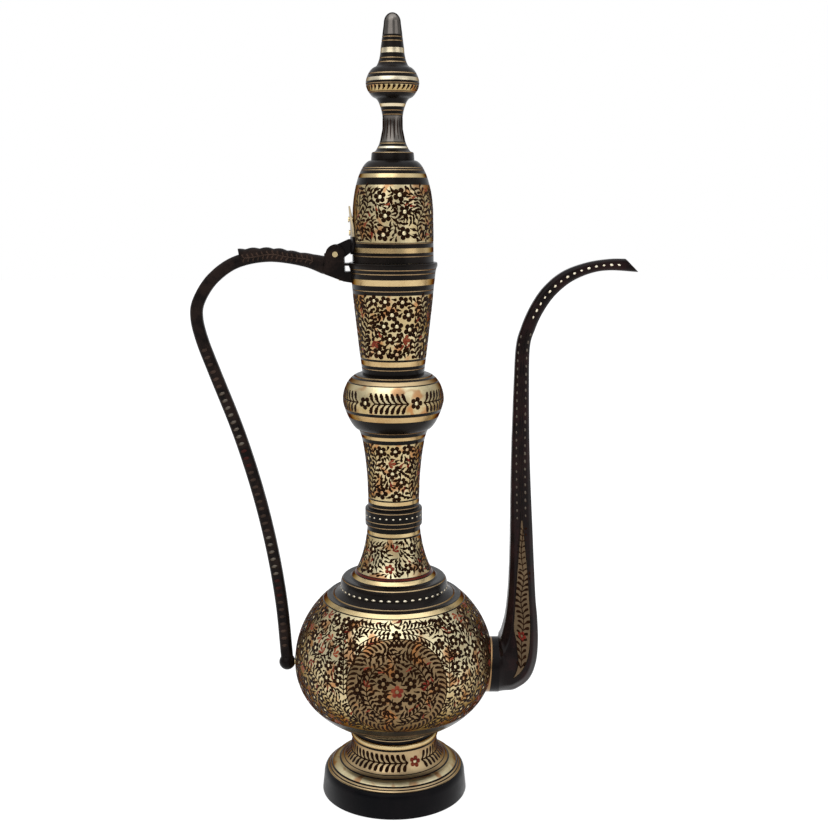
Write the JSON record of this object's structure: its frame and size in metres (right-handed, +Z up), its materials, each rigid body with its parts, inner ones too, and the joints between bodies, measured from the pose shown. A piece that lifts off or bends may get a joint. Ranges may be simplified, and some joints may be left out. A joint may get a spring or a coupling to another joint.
{
  "type": "surahi",
  "caption": "Tall engraved brass ewer with a footed round bowl, ringed neck, swan-neck spout, bow handle and hinged domed lid with a turned finial.",
  "frame": {"origin": "centre of the foot's flat base ring, on the axis of the vessel", "axes": "+Z up along the axis of the vessel, +X towards the spout, -X towards the handle"},
  "size_m": [0.3422, 0.159, 0.61],
  "materials": {
    "engraved_brass": "polished brass with black and red lacquer filled engraving",
    "plain_brass": "polished",
    "black_lacquer": "glossy black lacquer with turned brass lines",
    "foot_lacquer": "glossy black lacquer with brass bands and a leaf garland",
    "spout_lacquer": "glossy dark lacquer with punched brass dots",
    "handle_lacquer": "satin dark lacquer with a row of brass dashes"
  },
  "bodies": {
    "vessel": {"foot": "foot_lacquer", "bowl": "engraved_brass", "shoulder_ring": "black_lacquer", "lower_neck": "engraved_brass", "neck_ring": "black_lacquer", "mid_neck": "engraved_brass", "knop": "engraved_brass", "mouth_cup": "engraved_brass", "spout_collar": "plain_brass", "spout_root": "spout_lacquer", "spout_shaft": "spout_lacquer", "spout_tip": "spout_lacquer", "handle": "handle_lacquer", "handle_ball": "handle_lacquer", "handle_stud": "plain_brass", "hinge_block": "handle_lacquer", "hinge_pin": "plain_brass", "block_rivets": "plain_brass"},
    "lid": {"lid_dome": "engraved_brass", "lid_plug": "plain_brass", "hinge_leaf": "plain_brass", "leaf_rivets": "plain_brass", "finial_collar": "black_lacquer", "finial": "black_lacquer", "finial_stud": "plain_brass", "finial_nut": "plain_brass"}
  },
  "joints": [
    {"name": "lid_hinge", "type": "hinge", "parent": "vessel", "child": "lid", "pos_m": [-0.0437, 0, 0.4332], "axis": [0, -1, 0], "range_deg": [0, 90]}
  ]
}
